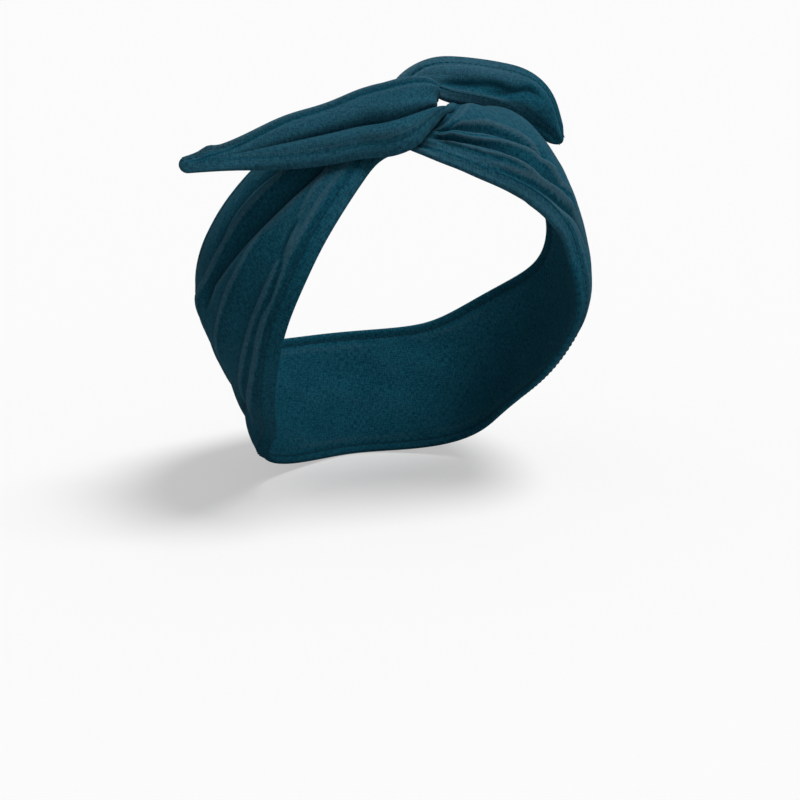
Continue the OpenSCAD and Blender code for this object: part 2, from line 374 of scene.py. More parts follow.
    def curve(self, rows: Array) -> Array:
        """Samples a control list on one smooth curve through its rows.

        Args:
            rows: one row for each whole number along the strip.

        Returns:
            The samples, one for each entry of the fine grid.
        """
        i = np.clip(np.floor(self.grid).astype(int), 0, LAST - 1)
        u = (self.grid - i).reshape((-1,) + (1,) * (rows.ndim - 1))
        p, q = rows[np.maximum(i - 1, 0)], rows[i]
        r, t = rows[i + 1], rows[np.minimum(i + 2, LAST)]
        square, cube = 2 * p - 5 * q + 4 * r - t, 3 * q - p - 3 * r + t
        return 0.5 * (2 * q + (r - p) * u + square * u**2 + cube * u**3)

    def read(self, table: Array, s: Array) -> Array:
        """Reads a fine table between its entries.

        Args:
            table: one row for each entry of the fine grid.
            s: places along the strip.

        Returns:
            The table's values, one row for each place.
        """
        if table.ndim == 1:
            return np.interp(s, self.grid, table)
        return np.stack([np.interp(s, self.grid, c) for c in table.T], axis=-1)

    def width_at(self, s: Array) -> Array:
        """Gives the strip's width at s, in millimetres."""
        return self.read(self.width, s)

    def arc_at(self, s: Array | float) -> Array:
        """Gives the length along the strip at s, in millimetres."""
        return np.interp(s, self.grid, self.arc)

    def s_at(self, arc: Array | float) -> Array:
        """Gives the place s at a length along the strip."""
        return np.interp(arc, self.arc, self.grid)

    def rows(self, start: float, end: float, step: float) -> Array:
        """Spaces places evenly by length between two ends."""
        a, b = self.arc_at(start), self.arc_at(end)
        return self.s_at(np.linspace(a, b, int(round(abs(b - a) / step)) + 1))

    def lobes(self, s: Array, q: Array) -> Array:
        """Shapes the two lobes beside a tail's crease: steep in the crease, curled at the edge.

        Args:
            s: places along the strip, one for each row.
            q: shares across, rows by columns.

        Returns:
            Heights as shares of the crease's depth, rows by columns.
        """
        left = (s < LAST / 2)[:, None]
        middle = listed(self.crease_line, s)
        away = q - middle
        t = np.minimum(np.abs(away) / np.where(away > 0, 0.5 - middle, 0.5 + middle), 1)
        steep = np.where(left, np.where(away > 0, 0.11, 0.20), 0.30)
        curl = np.where(left, np.where(away > 0, 0.75, 1.35), np.where(away > 0, 0.9, 1.5))
        return (1 - np.exp(-t / steep)) * (1 - curl * t**2)

    def place(self, s: Array, o: Array, h: Array) -> Array:
        """Puts points at (s, o) and a height h outwards from the strip's own surface.

        Args:
            s: places along the strip, one for each row.
            o: millimetres across, rows by columns.
            h: millimetres outwards, rows by columns.

        Returns:
            The points in millimetres, rows by columns by three.
        """
        w = self.width_at(s)[:, None]
        q = o / w
        bulge = self.read(self.crowns, s)[:, None] * (1 - 4 * q**2)
        fold = self.read(self.creases, s)[:, None] * self.lobes(s, q)
        level = unit(self.read(self.level, s))[:, None, :]
        outward = unit(self.read(self.outward, s))[:, None, :]
        points = self.read(self.line, s)[:, None, :] + level * o[..., None]
        points = points + outward * (h + bulge + fold)[..., None]
        for tug in self.tugs:
            points = points + tug.move(s[:, None] + 0 * q, q)
        return points


@dataclass(frozen=True)
class Fold:
    """One ridge or valley that runs along the strip.

    Attributes:
        track: its places (s, q).
        rise: its height in millimetres, below nought for a valley.
        fore: how far its slope reaches to the front edge, as a share of the width.
        aft: how far its slope reaches to the back edge.
        fade: the length in s over which it comes up at each end.
        blunt: how round its line is, as a share of the width.
    """

    track: Pairs
    rise: float
    fore: float
    aft: float
    fade: float = 0.5
    blunt: float = 0.012

    # Widths and strengths of the colour marks: ridges painted lighter as rubbing with a highlight, valleys
    # painted shade, all over when deep.
    RIDGE_RUB_W, VALLEY_RUB_W = 0.8, 1.3
    DEEP, DEEP_SHADE = 4.0, 0.75
    TALL, TALL_MARK, MARK_POWER, VALLEY_MARK = 2.4, 0.7, 1.5, -1.0
    TRACK_N, TRACK_BLUR = 240, 14.0

    @classmethod
    def even(cls, ends: tuple[float, float], across: Sequence[float], **shape: float) -> "Fold":
        """Makes a fold whose places across are spaced evenly from end to end."""
        places = np.round(np.linspace(*ends, len(across)), 2)
        return cls(tuple(zip(places.tolist(), across)), **shape)

    @property
    def mark_w(self) -> float:
        """Half the width in millimetres of the colour mark along its line: narrow on a ridge, painted
        lighter as rubbing and highlight; wider in a valley, painted shade.
        """
        return self.RIDGE_RUB_W if self.rise > 0 else self.VALLEY_RUB_W

    @property
    def shade(self) -> float:
        """How dark the painted shade is all over a deep valley."""
        return self.DEEP_SHADE * min(max(-self.rise, 0.0) / self.DEEP, 1.0)

    @property
    def mark(self) -> float:
        """How strong its colour mark is: a ridge is painted lighter, as rubbing with a highlight, less so
        when low; a valley is painted shade, below nought.

        Returns:
            The mark's share of the most that a line is marked.
        """
        if self.rise <= 0:
            return self.VALLEY_MARK
        return self.TALL_MARK * min(self.rise / self.TALL, 1.0) ** self.MARK_POWER

    def shape(self, s: Array, q: Array) -> tuple[Array, Array]:
        """Gives the fold's height and the distance from its line.

        Args:
            s: places along the strip, one for each row.
            q: shares across, rows by columns.

        Returns:
            Heights in millimetres and distances as shares of the width, rows by columns.
        """
        places = np.array(self.track)
        places = places[np.argsort(places[:, 0])]
        fine = np.linspace(places[0, 0], places[-1, 0], self.TRACK_N)
        middle = blurred(np.interp(fine, places[:, 0], places[:, 1]), self.TRACK_BLUR)
        centre = np.interp(s, fine, middle)[:, None]
        start, end = places[0, 0], places[-1, 0]
        envelope = smooth_step((s - start) / self.fade + 1) * smooth_step((end - s) / self.fade + 1)
        away = q - centre
        reach = np.where(away < 0, self.fore, self.aft)
        slope = (np.sqrt(away**2 + self.blunt**2) - self.blunt) / reach
        return self.rise * envelope[:, None] * np.exp(-slope), away


@dataclass(frozen=True)
class Relief:
    """How one face of the strip stands off its middle surface.

    Attributes:
        loft: (s, millimetres) pairs, the slack cloth's mean height.
        pleats: (s, millimetres) pairs, the height of the gathers.
        pleat_n: gathers across the strip.
        ripple: height of the slight unevenness all over.
        folds: the single folds.
        front_power: how flat the slack cloth lies towards the front edge.
        back_power: how flat it lies towards the back edge.
    """

    loft: Pairs
    pleats: Pairs
    pleat_n: float
    ripple: float
    folds: tuple[Fold, ...]
    front_power: float = 8.0
    back_power: float = 2.6

    WAVES = ((1.0, 0.11, 0.23, 1.7), (0.7, 0.21, -0.17, 0.0), (0.5, 0.37, 0.41, 0.6))

    def height(self, s: Array, q: Array, arc: Array, o: Array) -> tuple[Array, Array]:
        """Gives the face's height before its hems are shaped, and its fold marks: ridges painted lighter as
        rubbing with a highlight, valleys painted shade.

        Args:
            s: places along the strip, one for each row.
            q: shares across, rows by columns.
            arc: lengths along the strip in millimetres, one for each row.
            o: millimetres across, rows by columns.

        Returns:
            Heights in millimetres and fold marks from 1 on ridges, rubbing with painted highlight, to -1 in
            valleys, painted shade, both rows by columns.
        """
        power = np.where(q < 0, self.front_power, self.back_power)
        loft = listed(self.loft, s) * (1 - np.abs(2 * q) ** power)
        gather = listed(self.pleats, s)
        turn = 2 * np.pi * (self.pleat_n * q + 0.013 * arc[:, None])
        total = loft + gather * np.sin(turn + 0.8 * np.sin(0.07 * arc)[:, None])
        wave = sum(k * np.sin(a * arc[:, None] + b * o + c) for k, a, b, c in self.WAVES)
        total = total + self.ripple * wave
        rubbing_and_shade = np.zeros_like(q)
        width = o / np.where(np.abs(q) < 1e-9, 1.0, q)
        for fold in self.folds:
            rise, away = fold.shape(s, q)
            total = total + rise
            line = np.exp(-((away * width / fold.mark_w) ** 2))
            # Ridges painted lighter as rubbing with a highlight; valleys painted darker as shade, all over a
            # deep one.
            rubbing_and_shade = rubbing_and_shade + fold.mark * np.maximum(line, fold.shade) * rise / fold.rise
        return total, np.clip(rubbing_and_shade, -1, 1)


class Tone:
    """A value in a material, on which Python's operators add Math nodes."""

    def __init__(self, recipe: "Recipe", socket: Any) -> None:
        """Keeps the socket and the recipe that it belongs to."""
        self.recipe = recipe
        self.socket = socket

    def joined(self, operation: str, first: Any, second: Any) -> "Tone":
        """Adds one Math node on two values."""
        return self.recipe.add("ShaderNodeMath", {"operation": operation}, {0: first, 1: second})

    def __add__(self, other: Any) -> "Tone":
        """Adds."""
        return self.joined("ADD", self, other)

    __radd__ = __add__

    def __mul__(self, other: Any) -> "Tone":
        """Multiplies."""
        return self.joined("MULTIPLY", self, other)

    __rmul__ = __mul__

    def __sub__(self, other: Any) -> "Tone":
        """Subtracts."""
        return self.joined("SUBTRACT", self, other)

    def __rsub__(self, other: Any) -> "Tone":
        """Subtracts from."""
        return self.joined("SUBTRACT", other, self)

    def sine(self) -> "Tone":
        """Takes the sine."""
        return self.joined("SINE", self, 0.0)

    def clamped(self) -> "Tone":
        """Keeps the value between 0 and 1."""
        return self.recipe.add("ShaderNodeClamp", {}, {0: self, 1: 0.0, 2: 1.0})


class Recipe:
    """The nodes of one material or of the world."""

    def __init__(self, owner: Finish | bpy.types.World) -> None:
        """Empties the owner's node tree.

        Args:
            owner: the material or world that the nodes make.
        """
        self.owner = owner
        owner.use_nodes = True
        self.tree = owner.node_tree
        self.tree.nodes.clear()

    def add(
        self,
        kind: str,
        settings: dict[str, Any] | None = None,
        inputs: dict[str | int, Any] | None = None,
        output: str | int = 0,
    ) -> Tone:
        """Adds a node.

        Args:
            kind: the node's type.
            settings: its properties, which are set first.
            inputs: values or tones for its sockets.
            output: which output to hand on.

        Returns:
            The chosen output.
        """
        node = self.tree.nodes.new(kind)
        for key, value in (settings or {}).items():
            setattr(node, key, value)
        for key, value in (inputs or {}).items():
            if isinstance(value, Tone):
                self.tree.links.new(value.socket, node.inputs[key])
            else:
                node.inputs[key].default_value = value
        return Tone(self, node.outputs[output]) if len(node.outputs) else Tone(self, node)

    def mixed(self, factor: Any, first: Any, second: Any) -> Tone:
        """Mixes two colours by a factor."""
        return self.add("ShaderNodeMix", {"data_type": "RGBA"}, {0: factor, 6: first, 7: second}, 2)

    def noise(self, at: Tone, scale: Sequence[float], detail: float = 2.0) -> Tone:
        """Adds noise at a vector stretched by scale."""
        spread = self.add("ShaderNodeMapping", {}, {"Vector": at, "Scale": tuple(scale)})
        return self.add("ShaderNodeTexNoise", {}, {"Vector": spread, "Scale": 1.0, "Detail": detail})

    def shown(self) -> Tone:
        """Tells the rays that show a background: from the camera, in gloss or passed through.

        Returns:
            A value of 1 for those rays and 0 for the others.
        """
        path = self.add("ShaderNodeLightPath", output="Is Camera Ray")
        outputs = path.socket.node.outputs
        gloss, passed = (Tone(self, outputs[f"Is {kind} Ray"]) for kind in ("Glossy", "Transmission"))
        return (path + gloss + passed).clamped()

    def finish(self, shader: Tone) -> Finish | bpy.types.World:
        """Links the surface and hands the material or world over.

        Args:
            shader: the surface's shader.

        Returns:
            The finished owner of the nodes.
        """
        world = isinstance(self.owner, bpy.types.World)
        kind = "ShaderNodeOutputWorld" if world else "ShaderNodeOutputMaterial"
        self.add(kind, {}, {"Surface": shader})
        return self.owner

    def surface(self, inputs: dict[str, Any]) -> Tone:
        """Adds the main surface shader with these sockets."""
        return self.add("ShaderNodeBsdfPrincipled", {}, inputs)


@dataclass(frozen=True)
class NavyCloth:
    """Matte navy cotton with a fine slanted weave and uneven dye."""

    name: str
    # Painted shade: the colour for valleys, hollows, stitch lines and shaded stretches.
    shade: Colour = (0.0030, 0.0240, 0.0400, 1.0)
    deep: Colour = (0.0015, 0.0400, 0.0690, 1.0)
    pale: Colour = (0.0120, 0.0980, 0.1440, 1.0)
    # Lighter colour for rubbing on ridges and hems, and for painted highlight and sheen.
    worn_and_highlight: Colour = (0.0900, 0.1560, 0.2000, 1.0)
    sheen: Colour = (0.55, 0.72, 0.85, 1.0)
    thread_pitch: float = 0.00062
    fibre: tuple[float, float] = (480.0, 2000.0)
    cloudy: float = 70.0

    def material(self) -> Finish:
        """Makes the cloth's material.

        Returns:
            The new material.
        """
        r = Recipe(bpy.data.materials.new(self.name))
        weave = r.add("ShaderNodeUVMap", {"uv_map": WEAVE_MAP})
        axes = r.add("ShaderNodeSeparateXYZ", {}, {0: weave})
        u, v = axes, Tone(r, axes.socket.node.outputs[1])
        streak = r.noise(weave, (*self.fibre, 1.0))
        cross = r.noise(weave, (*self.fibre[::-1], 1.0))
        patch = r.noise(weave, (self.cloudy, self.cloudy, 1.0), 4.0)
        beat = 2 * math.pi / self.thread_pitch
        slant = ((u + v * 0.8) * beat + streak * 3.0).sine() * 0.5 + 0.5
        heather = (streak + cross) * 0.5
        wear = r.add("ShaderNodeAttribute", {"attribute_name": WEAR_AND_PAINTED_LIGHT}, output=2)
        dye = heather * 4.8 - 1.92 + (patch - 0.5) * 0.6 + (slant - 0.5) * 0.12
        colour = r.mixed(dye.clamped(), self.deep, self.pale)
        # Above nought the mark paints the cloth lighter: rubbing on ridges, lighter hems, painted highlight
        # and sheen.
        colour = r.mixed((wear * (heather + 0.3) * 0.66).clamped(), colour, self.worn_and_highlight)
        # Below nought it paints shade: valleys, hollows, stitch lines and shaded stretches go to the shade
        # colour.
        colour = r.mixed((wear * -0.9).clamped(), colour, self.shade)
        relief = slant * 0.6 + heather * 0.8
        bump = r.add("ShaderNodeBump", {}, {"Strength": 0.55, "Distance": 0.00022, "Height": relief})
        sockets = {
            "Base Color": colour,
            "Roughness": (heather * 0.25 + 0.74).clamped(),
            "Specular IOR Level": 0.01,
            "Sheen Weight": 0.02,
            "Sheen Roughness": 0.55,
            "Sheen Tint": self.sheen,
            "Normal": bump,
        }
        return r.finish(r.surface(sockets))


@dataclass(frozen=True)
class NavyThread:
    """Sewing thread with a fine grain, a little darker than the cloth."""

    name: str
    deep: Colour = (0.0030, 0.0260, 0.0430, 1.0)
    pale: Colour = (0.0120, 0.0560, 0.0840, 1.0)

    def material(self) -> Finish:
        """Makes the thread's material.

        Returns:
            The new material.
        """
        r = Recipe(bpy.data.materials.new(self.name))
        at = r.add("ShaderNodeTexCoord", {}, output=3)
        grain = r.noise(at, (5200.0, 5200.0, 5200.0))
        bump = r.add("ShaderNodeBump", {}, {"Strength": 0.5, "Distance": 0.00008, "Height": grain})
        sockets = {
            "Base Color": r.mixed((grain * 1.6 - 0.3).clamped(), self.deep, self.pale),
            "Roughness": (grain * 0.3 + 0.5).clamped(),
            "Specular IOR Level": 0.06,
            "Sheen Weight": 0.02,
            "Normal": bump,
        }
        return r.finish(r.surface(sockets))


@dataclass(frozen=True)
class DrawnWire:
    """Soft drawn steel wire with faint, uneven marks."""

    name: str
    bright: Colour = (0.46, 0.46, 0.45, 1.0)
    dull: Colour = (0.24, 0.24, 0.235, 1.0)

    def material(self) -> Finish:
        """Makes the wire's material.

        Returns:
            The new material.
        """
        r = Recipe(bpy.data.materials.new(self.name))
        at = r.add("ShaderNodeTexCoord", {}, output=3)
        marks = r.noise(at, (900.0, 900.0, 900.0), 4.0)
        sockets = {
            "Base Color": r.mixed((marks * 1.8 - 0.4).clamped(), self.dull, self.bright),
            "Metallic": 1.0,
            "Roughness": (marks * 0.35 + 0.2).clamped(),
        }
        return r.finish(r.surface(sockets))


@dataclass(frozen=True)
class PaleFloor:
    """Plain pale floor that stays nearly white to the camera, keeps shadows and throws little light back."""

    name: str
    pale: Colour = (0.96, 0.96, 0.96, 1.0)
    dim: Colour = (0.48, 0.48, 0.48, 1.0)
    glow: float = 0.45

    def material(self) -> Finish:
        """Makes the floor's material.

        Returns:
            The new material.
        """
        r = Recipe(bpy.data.materials.new(self.name))
        at = r.add("ShaderNodeTexCoord", {}, output=3)
        cloud = r.noise(at, (3.0, 3.0, 3.0))
        tint = r.mixed(cloud * 0.2, self.pale, (0.94, 0.945, 0.95, 1.0))
        shown = r.shown()
        colour = r.mixed(shown, self.dim, tint)
        surface = r.surface({"Base Color": colour, "Roughness": 0.9})
        glow = r.add("ShaderNodeEmission", {}, {"Color": WHITE, "Strength": 0.96})
        return r.finish(r.add("ShaderNodeMixShader", {}, {0: shown * self.glow, 1: surface, 2: glow}))


def added(name: str, data: Any) -> Piece:
    """Adds an object to the scene.

    Args:
        name: the object's name.
        data: its mesh, curve, lamp or camera.

    Returns:
        The new object.
    """
    obj = bpy.data.objects.new(name, data)
    bpy.context.collection.objects.link(obj)
    return obj


def show_only(obj: Piece) -> None:
    """Makes obj the one selected and active object.

    Args:
        obj: the object to select.
    """
    bpy.ops.object.select_all(action="DESELECT")
    obj.select_set(True)
    bpy.context.view_layer.objects.active = obj


def grid_piece(name: str, points: Array, weave: Array, wear: Array) -> Piece:
    """Adds a grid and moves its points into a cloth's shape.

    Args:
        name: the piece's name.
        points: columns by rows by three, in millimetres.
        weave: columns by rows by two, the cloth's own flat places in metres.
        wear: columns by rows, the colour marks: lighter for rubbing with painted highlight and light, darker
            for painted shade.

    Returns:
        The new object.
    """
    nx, ny = points.shape[:2]
    bpy.ops.object.select_all(action="DESELECT")
    bpy.ops.mesh.primitive_grid_add(x_subdivisions=nx - 1, y_subdivisions=ny - 1, size=1.0)
    obj = bpy.context.object
    obj.name = name
    mesh = obj.data
    mesh.name = name
    flat = np.empty(len(mesh.vertices) * 3)
    mesh.vertices.foreach_get("co", flat)
    flat = flat.reshape(-1, 3)
    i = np.rint((flat[:, 0] + 0.5) * (nx - 1)).astype(int)
    j = np.rint((flat[:, 1] + 0.5) * (ny - 1)).astype(int)
    mesh.vertices.foreach_set("co", (points[i, j] * MM).ravel())
    while mesh.uv_layers:
        mesh.uv_layers.remove(mesh.uv_layers[0])
    layer = mesh.uv_layers.new(name=WEAVE_MAP)
    corner = np.empty(len(mesh.loops), dtype=np.int32)
    mesh.loops.foreach_get("vertex_index", corner)
    layer.uv.foreach_set("vector", weave[i, j][corner].astype(np.float32).ravel())
    mark = mesh.attributes.new(WEAR_AND_PAINTED_LIGHT, "FLOAT", "POINT")
    mark.data.foreach_set("value", wear[i, j].astype(np.float32).ravel())
    mesh.update()
    return obj


@dataclass
class Strip:
    """The strip's cross-section: two faces that meet on the wired edges.

    Sizes are in millimetres.

    Attributes:
        route: where the strip runs.
        reliefs: how each face stands off the middle surface.
        cloth_t: the cloth's thickness.
        groove: the height of a hem's groove.
        flush_h: the groove's height where the hem lies flush.
        band_flush: how far the band's hems lie flush, from 0 to 1.
        band_h: the groove's height at the front of the band's outer face.
        tail_h: the groove's height on the right tail's outer face.
        stitch_dip: how deep the stitches sink in.
        fade: (s, share) pairs, painted light and shade along the strip: above nought lighter and greyer, for
            light and sheen; below nought towards the shade colour.
        face: what is added to the height of each face's relief.
        step: the distance between rows along the strip.
        inner_n: columns between the hems.
        floor_h: the least height of the slack cloth.
        cap_n: rows round a tip.
        narrow_w: the width below which the hems shrink.
        band_run: first and last place of the band.
        tail_run: first and last place where tail_h counts.
        flat_from: the place past which the right tail's hems lie flush.
        flat_tip: the place before which the left tip's hems lie flush.
        flat_left: the place before which the left tail's inner front hem lies flush.
        wire_room: the height that the stitches leave over the middle surface.
        hem_lighten: how much lighter the colour is made along a tight hem's rolled edge.
        seam_shade_parts: how dark the painted shade along the stitch lines is, and what is added where they
            are tight and on the band.
    """

    route: StripRoute
    reliefs: dict[Side, Relief]
    cloth_t: float = 0.5
    groove: float = 0.15
    flush_h: float = 1.05
    band_flush: float = 0.9
    band_h: float = 3.0
    tail_h: float = 2.1
    stitch_dip: float = 0.35
    # Painted light and shade along the strip: lighter and greyer where the light falls, darker where it does
    # not.
    fade: Pairs = (
        (0, 0.22), (2.5, 0.22), (4, 0.18), (6, 0.22), (8.5, 0.1), (10.2, 0.1), (11.2, 0.0), (19, 0.0),
        (20.2, -0.1), (21.3, 0.25), (25, 0.25), (26, 0.0), (28, 0.4), (29.8, 0.36), (31, 0.04), (32, 0.04),
    )
    face: float = 0.9
    step: float = 1.9
    inner_n: int = 104
    floor_h: float = 0.4
    cap_n: int = 8
    narrow_w: float = 16.0
    band_run: tuple[float, float] = (8.6, 25.3)
    tail_run: tuple[float, float] = (27.8, 31.4)
    flat_from: float = 28.2
    flat_tip: float = 0.5
    flat_left: float = 7.0
    wire_room: float = 0.12
    hem_lighten: float = 0.4
    seam_shade_parts: tuple[float, float, float] = (0.15, 0.75, 0.35)

    def band_share(self, s: Array) -> Array:
        """Tells the band, 1, from the knot and tails, 0."""
        return between(s, self.band_run, 0.8, 0.6)

    def flush(self, side: Side, edge: Edge, s: Array) -> Array:
        """Tells where a hem lies flush, 1, and where its stitches pull a groove, 0.

        Args:
            side: the face of the strip.
            edge: the wired edge.
            s: places along the strip.

        Returns:
            Shares from 0 to 1, one for each place.
        """
        flush = np.maximum(smooth_step(s - self.flat_from), smooth_step((self.flat_tip - s) / 0.3))
        flush = np.maximum(flush, self.band_flush * self.band_share(s))
        if side is Side.INNER and edge is Edge.FRONT:
            flush = np.maximum(flush, smooth_step((self.flat_left - s) / 0.8))
        return flush

    def groove_at(self, side: Side, edge: Edge, s: Array) -> Array:
        """Gives the height of a hem's groove, which is shallow where the hem lies flush.

        Args:
            side: the face of the strip.
            edge: the wired edge.
            s: places along the strip.

        Returns:
            Heights in millimetres, one for each place.
        """
        level = self.groove + (self.flush_h - self.groove) * self.flush(side, edge, s)
        if side is Side.OUTER and edge is Edge.FRONT:
            level = level + (self.band_h - level) * self.band_share(s)
        if side is Side.OUTER:
            level = level + (self.tail_h - level) * between(s, self.tail_run, 0.8, 1.2)
        return level

    @staticmethod
    def by_edge(front: Array, rows: Callable[[Edge], Array]) -> Array:
        """Takes the front edge's rows where front is true, and the back edge's elsewhere."""
        return np.where(front, *[rows(edge)[:, None] for edge in Edge])

    def hem_scale(self, w: Array) -> Array:
        """Shrinks the hems where the strip is narrow."""
        return np.minimum(1.0, w / self.narrow_w)

    def offsets(self, w: Array) -> Array:
        """Spreads the columns of a section, close at the hems.

        Args:
            w: the strip's width at each row.

        Returns:
            Millimetres from the front edge, rows by columns.
        """
        r, hem = self.route.edge_r, self.route.hem_w
        roll = r * (1 - np.cos(np.radians(np.arange(0, 91, 15))))
        rest = np.array([2.3, 2.9, 3.4, 3.75, hem, 4.25, 4.6, 5.1, 5.7])
        near = np.concatenate([roll, rest])
        scale = self.hem_scale(w)[:, None]
        first = scale * near
        last = w[:, None] - first[:, ::-1]
        share = np.linspace(0, 1, self.inner_n + 2)[1:-1]
        inner = first[:, -1:] + share * (last[:, :1] - first[:, -1:])
        return np.concatenate([first, inner, last], axis=1)

    def heights(self, side: Side, s: Array, x: Array, w: Array) -> tuple[Array, Array]:
        """Shapes one face: rolled edges, stitched grooves and the slack cloth between.

        Args:
            side: which face.
            s: places along the strip, one for each row.
            x: millimetres from the front edge, rows by columns.
            w: the strip's width at each row.

        Returns:
            Heights away from the middle surface and the fold marks, lighter ridges with painted highlight
            and painted shade in valleys, rows by columns.
        """
        scale = self.hem_scale(w)[:, None]
        r, hem = self.route.edge_r * scale, self.route.hem_w * scale
        o = x - w[:, None] / 2
        near = np.minimum(x, w[:, None] - x)
        roll = np.sqrt(np.maximum(r**2 - (r - np.minimum(near, r)) ** 2, 0))
        down = smooth_step((near - r) / np.maximum(hem - r, 1e-6))
        groove = self.by_edge(o < 0, lambda edge: self.groove_at(side, edge, s))
        loose = self.by_edge(o < 0, lambda edge: 1 - 0.7 * self.flush(side, edge, s))
        dip = self.stitch_dip * loose * scale * np.exp(-(((near - hem) / (0.6 * scale)) ** 2))
        dip = np.minimum(dip, np.maximum(groove - self.wire_room, 0))
        rim = roll + (groove - r) * down * (near > r)
        inside = smooth_step((near - hem) / (4.0 * scale))
        slack, rubbing_and_shade = self.reliefs[side].height(s, o / w[:, None], self.route.arc_at(s), o)
        slack = slack + self.face
        slack = self.floor_h + np.logaddexp(0, (slack - self.floor_h) / 0.5) * 0.5
        return np.where(near <= hem, rim, groove + (slack - groove) * inside) - dip, rubbing_and_shade * inside

    def rows(self, start: float, end: float) -> tuple[Array, Array]:
        """Places the rows of a run, closer and narrower round a tip.

        Args:
            start: first place along the strip.
            end: last place along the strip.

        Returns:
            The places and the squeeze of each row.
        """
        s = self.route.rows(start, end, self.step)
        squeeze = np.ones(len(s))
        turn = np.radians(np.linspace(90, 0, self.cap_n))
        if start == 0:
            radius = self.route.tip_w / 2
            cap = self.route.s_at(radius * (1 - np.sin(turn)))
            rest = self.route.rows(float(cap[-1]), end, self.step)[1:]
            s = np.concatenate([cap, rest])
            squeeze = np.concatenate([np.cos(turn), np.ones(len(rest))])
        if end == LAST:
            radius = self.route.right_tip_w / 2
            whole = self.route.arc[-1]
            cap = self.route.s_at(whole - radius * (1 - np.sin(turn)))[::-1]
            rest = self.route.rows(start, float(cap[0]), self.step)[:-1]
            s = np.concatenate([rest, cap])
            squeeze = np.concatenate([np.ones(len(rest)), np.cos(turn)[::-1]])
        return s, np.maximum(squeeze, 0.02)

    def layer(self, name: str, side: Side, start: float, end: float) -> Piece:
        """Makes one layer of cloth over a run of the strip.

        Args:
            name: the piece's name.
            side: which face.
            start: first place along the strip.
            end: last place along the strip.

        Returns:
            The cloth, with its thickness.
        """
        s, squeeze = self.rows(start, end)
        w = self.route.width_at(s)
        x = self.offsets(w)
        h, rubbing_and_shade = self.heights(side, s, x, w)
        o = (x - w[:, None] / 2) * squeeze[:, None]
        points = self.route.place(s, o, side.value * h * squeeze[:, None])
        flat = np.stack([np.broadcast_to(self.route.arc_at(s)[:, None], x.shape), x], axis=-1) * MM
        wear = self.wear(side, s, h, x, rubbing_and_shade)
        order = slice(None) if side is Side.OUTER else slice(None, None, -1)
        turned = [a.swapaxes(0, 1)[order] for a in (points, flat, wear)]
        obj = grid_piece(name, *turned)
        show_only(obj)
        thick = obj.modifiers.new("Cloth", "SOLIDIFY")
        thick.thickness = self.cloth_t * MM
        thick.offset = -1.0
        bpy.ops.object.modifier_apply(modifier=thick.name)
        bpy.ops.object.shade_smooth()
        return obj

    def wear(self, side: Side, s: Array, h: Array, x: Array, rubbing_and_shade: Array) -> Array:
        """Paints crests lighter, as rubbing with a painted highlight, and valleys, hollows and stitch lines
        darker, as painted shade, plus painted light and shade along the strip.

        Args:
            side: which face.
            s: places along the strip, one for each row.
            h: the face's heights, rows by columns.
            x: millimetres from the front edge, rows by columns.
            rubbing_and_shade: what the folds mark: ridges lighter with painted highlight, valleys painted
                shade, rows by columns.

        Returns:
            Colour marks from -1, painted shade in valleys, hollows and stitch lines, to 1, rubbing with
            painted highlight on crests, rows by columns.
        """
        # Local crests painted lighter as a highlight, local hollows darker as painted shade.
        around = (np.roll(h, 3, axis=1) + np.roll(h, -3, axis=1)) / 2
        crest_and_hollow_tone = np.clip((h - around) / 0.5, -0.5, 0.5)
        near = np.minimum(x, x[:, -1:] - x)
        tight = self.by_edge(x < x[:, -1:] / 2, lambda edge: 1 - self.flush(side, edge, s))
        # Lighter along a tight hem's rolled edge.
        hem = np.exp(-(((near - 1.3) / 0.8) ** 2)) * self.hem_lighten * tight
        # A dark line along the stitches: painted shade of the groove, darker where tight and on the band.
        faint, pulled, on_band = self.seam_shade_parts
        seam_shade = faint + pulled * tight + on_band * self.band_share(s)[:, None]
        hem = hem - np.exp(-(((near - self.route.hem_w) / 0.5) ** 2)) * seam_shade
        fold_tone = np.where(np.abs(crest_and_hollow_tone) > np.abs(rubbing_and_shade), crest_and_hollow_tone, rubbing_and_shade)
        # Painted light and shade along the strip.
        painted_light_along = listed(self.fade, s)
        return np.clip(np.where(near < 5, hem, fold_tone) + painted_light_along, -1, 1)

    def edge_line(self, edge: Edge, s: Array, inset: float, lift: Array | float) -> Array:
        """Gives a line beside an edge, in millimetres.

        Args:
            edge: which edge.
            s: places along the strip.
            inset: distance from the edge.
            lift: height outwards from the middle surface.

        Returns:
            Points, one for each place.
        """
        w = self.route.width_at(s)
        o = edge.value * (w / 2 - inset * self.hem_scale(w))
        return self.route.place(s, o[:, None], np.broadcast_to(lift, len(s))[:, None])[:, 0]

    def turn_line(self, s: float, ahead: float, inset: float) -> Array:
        """Gives a round turn from the front edge to the back edge, in the middle surface.

        Args:
            s: place along the strip where the turn starts and ends.
            ahead: how far along the strip it reaches.
            inset: distance that it keeps from both edges.

        Returns:
            Points in millimetres.
        """
        turn = np.radians(np.linspace(-90, 90, 13))[1:-1]
        places = s + ahead * np.cos(turn)
        w = self.route.width_at(np.array([s]))
        reach = float(w[0] / 2 - inset * self.hem_scale(w)[0])
        o = reach * np.sin(turn)
        return self.route.place(places, o[:, None], np.zeros((len(o), 1)))[:, 0]


